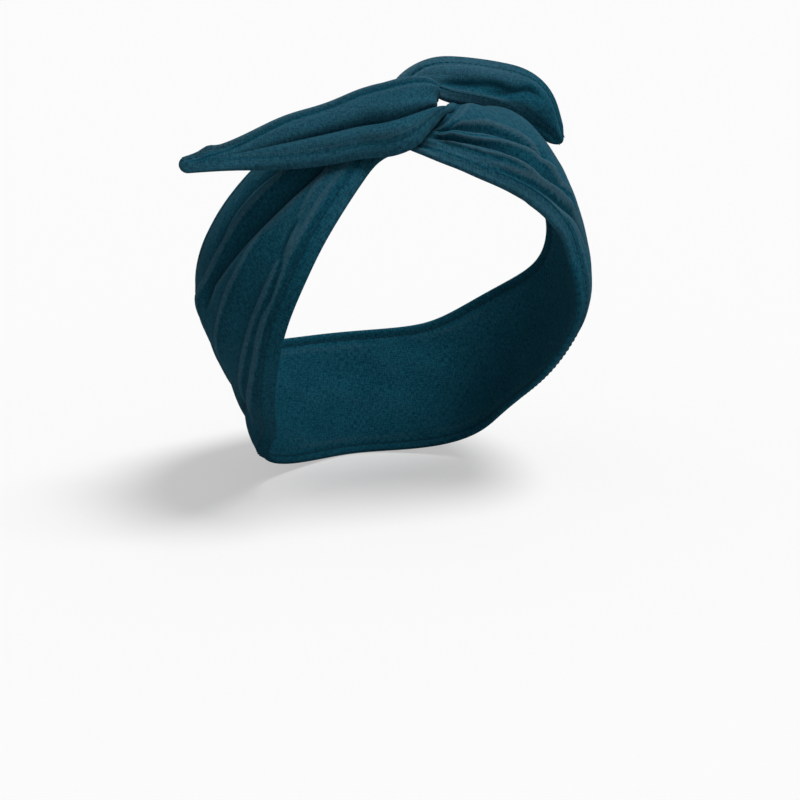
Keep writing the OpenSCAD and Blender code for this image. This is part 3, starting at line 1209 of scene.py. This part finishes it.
@dataclass
class StitchRow:
    """Rows of small lockstitches sunk beside an edge."""

    strip: Strip
    length: float = 2.3
    pitch: float = 2.9
    thick: float = 0.42

    def stitch(self) -> tuple[Array, list[tuple[int, ...]]]:
        """Models one stitch as a slim bead.

        Returns:
            Its points in millimetres, lengthwise along x, and its faces.
        """
        bpy.ops.object.select_all(action="DESELECT")
        bpy.ops.mesh.primitive_uv_sphere_add(segments=6, ring_count=5, radius=0.5)
        obj = bpy.context.object
        bpy.ops.object.mode_set(mode="EDIT")
        bpy.ops.mesh.select_all(action="SELECT")
        bpy.ops.transform.rotate(value=math.pi / 2, orient_axis="Y", center_override=(0, 0, 0))
        bpy.ops.transform.resize(value=(self.length, self.thick, self.thick * 0.8))
        bpy.ops.object.mode_set(mode="OBJECT")
        points = np.array([v.co[:] for v in obj.data.vertices])
        faces = [tuple(p.vertices) for p in obj.data.polygons]
        bpy.data.objects.remove(obj, do_unlink=True)
        return points, faces

    def frames(self, edge: Edge, side: Side, start: float, end: float) -> tuple[Array, Array]:
        """Finds where the stitches of one row go and how they are turned.

        Args:
            edge: the edge they run beside.
            side: the face they show on.
            start: first place along the strip.
            end: last place along the strip.

        Returns:
            Their middles in millimetres and their three directions.
        """
        route, strip = self.strip.route, self.strip
        s = route.rows(start, end, self.pitch)
        lift = side.value * strip.groove_at(side, edge, s)
        middle = strip.edge_line(edge, s, route.hem_w, lift)
        ahead = strip.edge_line(edge, np.minimum(s + 0.02, LAST), route.hem_w, lift)
        behind = strip.edge_line(edge, np.maximum(s - 0.02, 0), route.hem_w, lift)
        along = unit(ahead - behind)
        up = unit(route.read(route.outward, s)) * side.value
        up = unit(up - (up * along).sum(1, keepdims=True) * along)
        return middle, np.stack([along, np.cross(up, along), up], axis=1)

    def build(self, name: str, runs: Sequence[tuple[Edge, Side, float, float]]) -> Piece:
        """Joins the stitches of several rows into one piece.

        Args:
            name: the piece's name.
            runs: edge, face, first and last place of each row.

        Returns:
            The new object.
        """
        points, faces = self.stitch()
        return self.copies(name, points, faces, [self.frames(*run) for run in runs])

    @staticmethod
    def copies(
        name: str,
        points: Array,
        faces: list[tuple[int, ...]],
        places: Sequence[tuple[Array, Array]],
    ) -> Piece:
        """Copies one stitch to many places in one mesh.

        Args:
            name: the piece's name.
            points: the stitch's points.
            faces: the stitch's faces.
            places: middles and directions of each row of copies.

        Returns:
            The new object.
        """
        middles = np.concatenate([m for m, _ in places])
        turns = np.concatenate([t for _, t in places])
        spread = middles[:, None, :] + np.einsum("vk,nkx->nvx", points, turns)
        shifted = [tuple(k + i * len(points) for k in f) for i in range(len(middles)) for f in faces]
        mesh = bpy.data.meshes.new(name)
        mesh.from_pydata((spread.reshape(-1, 3) * MM).tolist(), [], shifted)
        mesh.update()
        obj = added(name, mesh)
        show_only(obj)
        bpy.ops.object.shade_smooth()
        return obj


def wire_piece(name: str, line: Array) -> Piece:
    """Draws a wire along a line of points and makes it a mesh.

    Args:
        name: the piece's name.
        line: the wire's points, in millimetres.

    Returns:
        The new object.
    """
    curve = bpy.data.curves.new(name, "CURVE")
    curve.dimensions = "3D"
    curve.bevel_depth = WIRE_R * MM
    curve.bevel_resolution = 2
    curve.use_fill_caps = True
    spline = curve.splines.new("POLY")
    spline.points.add(len(line) - 1)
    for point, place in zip(spline.points, line * MM):
        point.co = (*place, 1.0)
    obj = added(name, curve)
    show_only(obj)
    bpy.ops.object.convert(target="MESH")
    obj = bpy.context.object
    bpy.ops.object.shade_smooth()
    return obj


@dataclass(frozen=True)
class Tail:
    """One tail: its run along the strip, its cut and its sewing.

    Attributes:
        name: which tail.
        front: the strip's face that shows in front.
        run: first and last place along the strip.
        cut: the end of the run that meets the band.
        flat: the cloth's cut width and length in metres.
        area: the cloth's cut area in square metres.
        bend: where the tail starts to bend, and how far along the bend reaches.
        turn: where the wire turns round the tip, and how far along the turn reaches.
        sewn: edge, face, first and last place of each row of stitches.
        closed_by_hand: whether whip stitches close its tip.
    """

    name: str
    front: Side
    run: tuple[float, float]
    cut: float
    flat: tuple[float, float]
    area: float
    bend: tuple[float, float]
    turn: tuple[float, float]
    sewn: tuple[tuple[Edge, Side, float, float], ...]
    closed_by_hand: bool = False


class Headband:
    """The whole headband: band, tails, stitches and wires."""

    CLOSING_SIZE = (0.62, 1.0, 0.9)
    CLOSING_ENDS, CLOSING_N = (0.12, 1.0), 11
    CLOSING_SLANT = 0.7
    CLOSING_INSET = 1.7
    CLOSING_LIFT, CLOSING_PROUD = 1.4, 0.05

    def __init__(self) -> None:
        """Sets the route, the folds and the finishes out."""
        self.route = StripRoute(tugs=TUGS)
        self.strip = Strip(self.route, {Side.OUTER: OUTER_RELIEF, Side.INNER: INNER_RELIEF})
        self.stitches = StitchRow(self.strip)
        self.cloth = NavyCloth("navy_cloth").material()
        self.thread = NavyThread("navy_thread").material()
        self.wire = DrawnWire("drawn_wire").material()
        self.pieces: list[Piece] = []

    def dress(self, obj: Piece, material: Finish, slot: str, *nodes: str) -> None:
        """Gives a piece its finish, hides the solids that it stands for and adds it to the pieces.

        Args:
            obj: the piece.
            material: its finish.
            slot: not used.
            *nodes: the solids that it stands for.
        """
        obj.data.materials.clear()
        obj.data.materials.append(material)
        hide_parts(*nodes)
        self.pieces.append(obj)

    def on_band(self, obj: Piece, material: Finish, slot: str, *nodes: str) -> None:
        """Dresses a piece that moves with the band."""
        self.dress(obj, material, slot, *nodes)
        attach(obj, "band")

    def on_tail(self, tail: Tail, obj: Piece, material: Finish, slot: str, node: str) -> None:
        """Dresses a piece of a tail and bakes its place into its mesh.

        Args:
            tail: the tail that it belongs to.
            obj: the piece.
            material: its finish.
            slot: not used.
            node: the solid that it stands for.
        """
        self.dress(obj, material, slot, node)
        at, ahead = tail.bend
        start, end = self.route.read(self.route.line, np.array([at, at + ahead])) * MM
        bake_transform(obj)

    def edge_wire(self, edge: Edge, s: Array) -> Array:
        """Gives the wire's line in an edge."""
        return self.strip.edge_line(edge, s, self.route.edge_r, 0.0)

    def build_band(self) -> None:
        """Makes the band's two layers, its topstitching and its wires."""
        outer = self.strip.layer("band_outer_cloth", Side.OUTER, LEFT_CUT, RIGHT_CUT)
        lining = self.strip.layer("band_lining_cloth", Side.INNER, LEFT_CUT, RIGHT_CUT)
        panels = ("band_outer_panel", "knot_left_strand", "knot_right_strand")
        self.on_band(outer, self.cloth, "outer_cloth", *panels)
        self.on_band(lining, self.cloth, "lining_cloth", "band_lining")
        for edge in Edge:
            word = edge.name.lower()
            row = self.stitches.build(f"band_{word}_stitches", [(edge, side, *BAND_SEWN) for side in Side])
            self.on_band(row, self.thread, "thread", f"band_{word}_topstitch")
        s = self.route.rows(LEFT_CUT, RIGHT_CUT, self.strip.step)
        for edge in Edge:
            word = edge.name.lower()
            wire = wire_piece(f"{word}_wire_run", self.edge_wire(edge, s))
            self.on_band(wire, self.wire, "wire", f"{word}_edge_wire")

    def build_tail(self, tail: Tail) -> None:
        """Makes a tail's two layers, its stitches and the wire round its tip.

        Args:
            tail: where the tail runs and how it is sewn.
        """
        name = f"{tail.name}_tail"
        front = self.strip.layer(f"{name}_front_cloth", tail.front, *tail.run)
        back = self.strip.layer(f"{name}_back_cloth", Side(-tail.front.value), *tail.run)
        self.on_tail(tail, front, self.cloth, "outer_cloth", f"{name}_front_panel")
        self.on_tail(tail, back, self.cloth, "lining_cloth", f"{name}_back_panel")
        rows = self.stitches.build(f"{name}_stitches", tail.sewn)
        self.on_tail(tail, rows, self.thread, "thread", f"{name}_topstitch")
        if tail.closed_by_hand:
            tip = f"{tail.name}_tip"
            closing = self.closing_stitches(f"{tip}_stitches")
            self.on_tail(tail, closing, self.thread, "thread", f"{tip}_closing_stitches")
        at, ahead = tail.turn
        s = self.route.rows(tail.cut, at, self.strip.step)
        out, home = (self.edge_wire(edge, s) for edge in Edge)
        turn = self.strip.turn_line(at, ahead, self.route.edge_r)
        wire = wire_piece(f"{name}_wire_run", np.concatenate([out, turn, home[::-1]]))
        self.on_tail(tail, wire, self.wire, "wire", f"{name}_wire")

    def closing_stitches(self, name: str) -> Piece:
        """Sews the left tip's opening shut with short whip stitches over the back edge.

        Args:
            name: the piece's name.

        Returns:
            The stitches, as one piece.
        """
        points, faces = self.stitches.stitch()
        points = points * np.array(self.CLOSING_SIZE)
        s = np.linspace(*self.CLOSING_ENDS, self.CLOSING_N)
        scale = self.strip.hem_scale(self.route.width_at(s))
        along = unit(self.route.read(self.route.heading, s))
        level = unit(self.route.read(self.route.level, s))
        slant = unit(level + self.CLOSING_SLANT * along)
        lift = self.CLOSING_LIFT * scale + self.CLOSING_PROUD
        places = []
        for side in Side:
            middle = self.strip.edge_line(Edge.BACK, s, self.CLOSING_INSET, side.value * lift)
            up = unit(np.cross(slant, along)) * side.value
            places.append((middle, np.stack([slant, np.cross(up, slant), up], axis=1)))
        return self.stitches.copies(name, points, faces, places)


@dataclass
class Studio:
    """Pale floor, soft light and the camera."""

    azimuth: float = -20.0
    elevation: float = 16.0
    distance: float = 1.1
    lens: float = 110.0
    shift: tuple[float, float] = (0.0075, -0.0925)
    room: float = 0.25
    backdrop: float = 0.95
    key_from: Place = (0.42, -0.40, 1.30)
    key_spread: float = 26.0
    key_power: float = 2.6

    def place_camera(self) -> None:
        """Sets the camera at the photograph's angle."""
        a, e = math.radians(self.azimuth), math.radians(self.elevation)
        camera = bpy.data.cameras.new("camera")
        camera.lens = self.lens
        camera.sensor_width = 36.0
        camera.shift_x, camera.shift_y = self.shift
        obj = added("camera", camera)
        back = (math.sin(a) * math.cos(e), -math.cos(a) * math.cos(e), math.sin(e))
        obj.location = [self.distance * c for c in back]
        obj.rotation_euler = (math.pi / 2 - e, 0.0, a)
        bpy.context.scene.camera = obj

    def add_sun(self, name: str, place: Place, spread: float, power: float) -> None:
        """Adds an even light, softened by its spread.

        Args:
            name: the lamp's name.
            place: where it comes from, seen from the origin.
            spread: how wide its source looks, in degrees.
            power: its strength.
        """
        lamp = bpy.data.lights.new(name, "SUN")
        lamp.angle = math.radians(spread)
        lamp.energy = power
        obj = added(name, lamp)
        obj.location = place
        x, y, z = place
        flat = math.hypot(x, y)
        obj.rotation_euler = (math.atan2(flat, z), 0.0, math.atan2(y, x) + math.pi / 2)

    def light(self) -> None:
        """Lights the scene softly from above and in front."""
        r = Recipe(bpy.data.worlds.new("studio"))
        strength = r.shown() * (self.backdrop - self.room) + self.room
        r.finish(r.add("ShaderNodeBackground", {}, {"Color": WHITE, "Strength": strength}))
        bpy.context.scene.world = r.owner
        self.add_sun("key", self.key_from, self.key_spread, self.key_power)

    def lay_floor(self, height: float) -> None:
        """Lays the floor.

        Args:
            height: where it lies, in metres.
        """
        bpy.ops.object.select_all(action="DESELECT")
        bpy.ops.mesh.primitive_plane_add(size=8.0, location=(0, 0, 0))
        floor = bpy.context.object
        floor.name = "floor"
        show_only(floor)
        bpy.ops.object.mode_set(mode="EDIT")
        bpy.ops.mesh.select_all(action="SELECT")
        bpy.ops.transform.translate(value=(0, 0, height))
        bpy.ops.object.mode_set(mode="OBJECT")
        floor.data.materials.append(PaleFloor("pale_floor").material())
        floor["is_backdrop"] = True


TUGS = (
    Tug(5.25, 0.5, 0.40, 0.35, (1.6, -1.5, -2.0)),
    Tug(5.60, 0.5, 0.25, 0.35, (1.5, -0.5, -5.0)),
    Tug(5.35, 0.0, 0.45, 0.22, (-4.0, 2.5, -2.0)),
    Tug(4.80, 0.0, 0.50, 0.20, (0.0, 0.0, -2.0)),
    Tug(5.00, -0.5, 0.50, 0.35, (-2.5, 0.0, 1.5)),
    Tug(4.45, -0.5, 0.45, 0.35, (-3.2, 0.0, 1.6)),
    Tug(5.30, -0.5, 0.60, 0.35, (-0.5, 0.0, 2.6)),
    Tug(5.70, -0.1, 0.45, 0.25, (-2.0, 0.0, -3.0)),
    Tug(2.5, 0.5, 0.6, 0.4, (0.4, -0.8, -2.2)),
    Tug(3.5, 0.5, 0.6, 0.4, (0.1, -0.3, -0.7)),
    Tug(0.5, -0.5, 0.6, 0.4, (-0.1, -0.1, -0.6)),
    Tug(1.2, -0.5, 0.6, 0.4, (-0.2, -0.4, -1.5)),
    Tug(2.9, -0.5, 0.6, 0.4, (-0.1, 0.6, 1.7)),
    Tug(11.9, -0.5, 0.7, 0.35, (1.7, -0.8, -0.6)),
    Tug(12.8, -0.5, 0.7, 0.35, (0.9, -0.4, -0.3)),
    Tug(13.7, -0.5, 0.7, 0.35, (1.0, -0.5, -0.4)),
    Tug(11.9, 0.5, 0.9, 0.4, (-1.2, 0.6, 0.5)),
    Tug(13.3, 0.1, 0.5, 0.35, (3.1, -0.7, 1.3)),
    Tug(13.9, -0.2, 0.6, 0.35, (3.7, -0.8, 1.8)),
    Tug(14.6, -0.45, 0.6, 0.35, (-1.5, 0.3, -0.8)),
    Tug(20.3, 0.1, 0.6, 0.4, (-1.5, 0.4, -0.6)),
    Tug(20.3, -0.5, 0.6, 0.35, (-1.7, 0.1, -1.8)),
    Tug(21.1, 0.1, 0.6, 0.4, (1.1, -0.3, 0.4)),
    Tug(21.9, 0.1, 0.6, 0.4, (1.5, -0.1, 1.3)),
    Tug(22.6, 0.4, 0.5, 0.35, (-0.1, -0.3, -1.1)),
    Tug(23.5, -0.5, 0.6, 0.35, (-0.3, -0.1, -0.5)),
    Tug(24.4, -0.5, 0.6, 0.35, (0.6, 0.1, 1.1)),
    Tug(25.1, -0.5, 0.6, 0.35, (0.6, 0.2, 1.5)),
    Tug(29.6, -0.5, 0.8, 0.4, (0.0, -0.2, -0.9)),
    Tug(30.9, -0.5, 0.6, 0.4, (-1.6, 0.2, -1.3)),
    Tug(31.6, -0.5, 0.6, 0.4, (-2.6, 0.8, -0.3)),
    Tug(32.0, 0.2, 0.45, 0.6, (1.0, 0.0, -1.6)),
    Tug(0.58, 0.5, 0.12, 0.4, (0.0, -0.3, 1.5)),
    Tug(22.8, 0.5, 0.8, 0.16, (0.0, 6.0, -4.0)),
    Tug(24.2, 0.4, 0.5, 0.3, (-0.5, -2.0, 2.2)),
    Tug(23.3, 0.25, 0.8, 0.2, (0.0, -1.0, 2.2)),
    Tug(29.8, -0.5, 1.1, 0.25, (0.0, 5.0, -0.5)),
    Tug(22.7, 0.5, 0.50, 0.40, (0.0, 0.0, -2.0)),
    Tug(24.1, 0.5, 0.55, 0.45, (-2.5, 0.5, 3.0)),
    Tug(29.0, 0.5, 0.60, 0.60, (0.0, 0.0, -1.3)),
    Tug(24.6, 0.32, 0.55, 0.28, (-1.2, -3.4, 1.2)),
    Tug(23.2, 0.40, 0.75, 0.25, (0.0, -0.5, 2.5)),
    Tug(22.75, -0.5, 0.35, 0.30, (0.0, 0.0, -0.8)),
    Tug(5.1, -0.18, 0.40, 0.16, (0.0, 0.0, -1.5)),
)

LEFT_FOLDS = (
    Fold.even(
        (10.57, 12.46), (0.021, 0.057, 0.084, 0.113, 0.156, 0.222),
        rise=2.4, fore=0.035, aft=0.03, fade=0.5, blunt=0.006,
    ),
    Fold.even(
        (10.16, 12.12), (-0.19, -0.146, -0.096, -0.039, 0.027, 0.104),
        rise=-4.2, fore=0.035, aft=0.06, fade=0.4, blunt=0.006,
    ),
    Fold.even(
        (11.54, 12.57), (-0.123, -0.119, -0.106, -0.09, -0.075, -0.067),
        rise=1.6, fore=0.03, aft=0.03, fade=0.6, blunt=0.006,
    ),
    Fold.even(
        (11.56, 12.89), (-0.359, -0.351, -0.341, -0.328, -0.313, -0.297),
        rise=1.5, fore=0.025, aft=0.025, fade=0.8, blunt=0.006,
    ),
    Fold.even(
        (10.92, 11.7), (-0.332, -0.345, -0.358, -0.372, -0.386, -0.4),
        rise=-0.5, fore=0.012, aft=0.02, fade=0.3, blunt=0.005,
    ),
    Fold.even(
        (11.85, 13.56), (-0.409, -0.407, -0.397, -0.378, -0.352, -0.318),
        rise=1.4, fore=0.03, aft=0.02, fade=0.6, blunt=0.006,
    ),
    Fold.even(
        (10.52, 11.58), (0.115, 0.165, 0.198, 0.214, 0.212, 0.194),
        rise=-1.9, fore=0.03, aft=0.06, fade=0.4, blunt=0.01,
    ),
    Fold.even(
        (10.17, 10.95), (-0.277, -0.29, -0.305, -0.321, -0.34, -0.361),
        rise=0.9, fore=0.16, aft=0.045, fade=0.3, blunt=0.012,
    ),
)

RIGHT_FOLDS = (
    Fold.even(
        (22.12, 24.83), (-0.161, -0.063, 0.03, 0.11, 0.169, 0.198),
        rise=-3.8, fore=0.02, aft=0.05, fade=0.5, blunt=0.005,
    ),
    Fold.even(
        (21.54, 24.4), (-0.227, -0.198, -0.139, -0.063, 0.014, 0.079),
        rise=2.3, fore=0.03, aft=0.025, fade=0.8, blunt=0.006,
    ),
    Fold.even(
        (21.52, 24.84), (-0.297, -0.335, -0.238, -0.096, 0.002, -0.033),
        rise=-4.4, fore=0.02, aft=0.085, fade=0.3, blunt=0.005,
    ),
    Fold.even(
        (21.33, 24.5), (-0.332, -0.361, -0.332, -0.267, -0.185, -0.107),
        rise=2.3, fore=0.03, aft=0.02, fade=0.8, blunt=0.006,
    ),
    Fold.even(
        (20.34, 25.26), (-0.235, -0.391, -0.415, -0.389, -0.393, -0.511),
        rise=-3.8, fore=0.018, aft=0.02, fade=0.3, blunt=0.004,
    ),
    Fold.even(
        (21.9, 23.98), (-0.184, -0.058, 0.032, 0.095, 0.143, 0.185),
        rise=1.5, fore=0.03, aft=0.05, fade=0.8, blunt=0.008,
    ),
)

TAIL_FOLDS = (
    Fold(
        ((27.8, 0.36), (28.5, 0.32), (28.87, 0.2), (29.15, 0.15), (29.43, 0.12), (29.69, 0.07)),
        rise=-3.6, fore=0.07, aft=0.12, fade=0.5, blunt=0.02,
    ),
    Fold(
        ((29.2, 0.44), (29.42, 0.38), (29.66, 0.26), (29.88, 0.18), (30.17, 0.07), (30.52, -0.08)),
        rise=-3.2, fore=0.07, aft=0.12, fade=0.5, blunt=0.02,
    ),
)

NAPE_FOLDS = (
    Fold(
        ((13.2, 0.10), (14.5, 0.02), (16.0, 0.06), (18.0, 0.0), (19.6, 0.08)),
        rise=-1.8, fore=0.07, aft=0.06, fade=1.0,
    ),
    Fold(
        ((13.6, -0.2), (15.0, -0.14), (16.4, -0.2), (18.4, -0.16)),
        rise=-1.5, fore=0.06, aft=0.07, fade=1.0,
    ),
    Fold(
        ((14.0, 0.24), (15.6, 0.28), (17.2, 0.22), (19.0, 0.28)),
        rise=-1.5, fore=0.07, aft=0.06, fade=1.0,
    ),
)

OUTER_RELIEF = Relief(
    loft=(
        (0, 0.3), (5, 0.5), (8, 1.6), (9, 2.6), (10, 3.4), (12, 3.4), (14, 2.2), (16, 1.8), (18, 2.2),
        (20.5, 3.8), (22.5, 4.4), (23.5, 3.6), (24.5, 2.6), (26, 1.4), (28, 1.6), (29, 2.4), (30.5, 2.6),
        (31.5, 1.4), (32, 0.2),
    ),
    pleats=(
        (0, 0), (4, 0.2), (5.5, 0.6), (8, 1.0), (9.2, 0.5), (10, 0.0),
        (24.4, 0.0), (25.2, 0.5), (26, 0.8), (27.3, 0.4), (28.2, 0.0), (32, 0),
    ),
    pleat_n=3.0,
    ripple=0.10,
    folds=LEFT_FOLDS + RIGHT_FOLDS + NAPE_FOLDS + TAIL_FOLDS,
)

INNER_RELIEF = Relief(
    loft=((0, 0.3), (3, 0.9), (5, 1.0), (8, 1.0), (10, 0.3), (22, 0.3), (24, 0.8), (28, 1.0), (32, 0.2)),
    pleats=(
        (0, 0), (3, 0.2), (5.5, 0.8), (8.5, 0.8), (10.5, 0.2),
        (22, 0.15), (25, 0.7), (28, 0.8), (30, 0.3), (32, 0),
    ),
    pleat_n=2.5,
    ripple=0.10,
    folds=(),
)


LEFT_TAIL = Tail(
    name="left",
    front=Side.INNER,
    run=(0.0, LEFT_CUT),
    cut=LEFT_CUT,
    flat=(0.055, 0.130),
    area=0.0043,
    bend=(3.0, -0.7),
    turn=(0.45, -0.15),
    sewn=(
        (Edge.BACK, Side.INNER, 0.12, 5.3),
        (Edge.FRONT, Side.INNER, 3.7, 5.3),
        (Edge.BACK, Side.OUTER, 0.12, 5.3),
        (Edge.FRONT, Side.OUTER, 0.12, 5.3),
    ),
    closed_by_hand=True,
)

RIGHT_TAIL = Tail(
    name="right",
    front=Side.OUTER,
    run=(RIGHT_CUT, float(LAST)),
    cut=RIGHT_CUT,
    flat=(0.055, 0.125),
    area=0.0037,
    bend=(29.0, 0.6),
    turn=(31.7, 0.12),
    sewn=tuple((edge, side, 27.6, 31.9) for edge in Edge for side in Side),
)


def main() -> None:
    """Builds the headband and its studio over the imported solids."""
    logging.basicConfig(level=logging.INFO, format="%(name)s %(message)s")
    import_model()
    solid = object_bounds()
    bpy.context.scene.view_settings.view_transform = "Standard"
    studio = Studio()
    studio.place_camera()
    headband = Headband()
    headband.build_band()
    headband.build_tail(LEFT_TAIL)
    headband.build_tail(RIGHT_TAIL)
    for piece in headband.pieces:
        LOG.info("%s: %d faces", piece.name, len(piece.data.polygons))
    studio.light()
    studio.lay_floor(float(solid[0][2]))


if __name__ == "__main__":
    main()
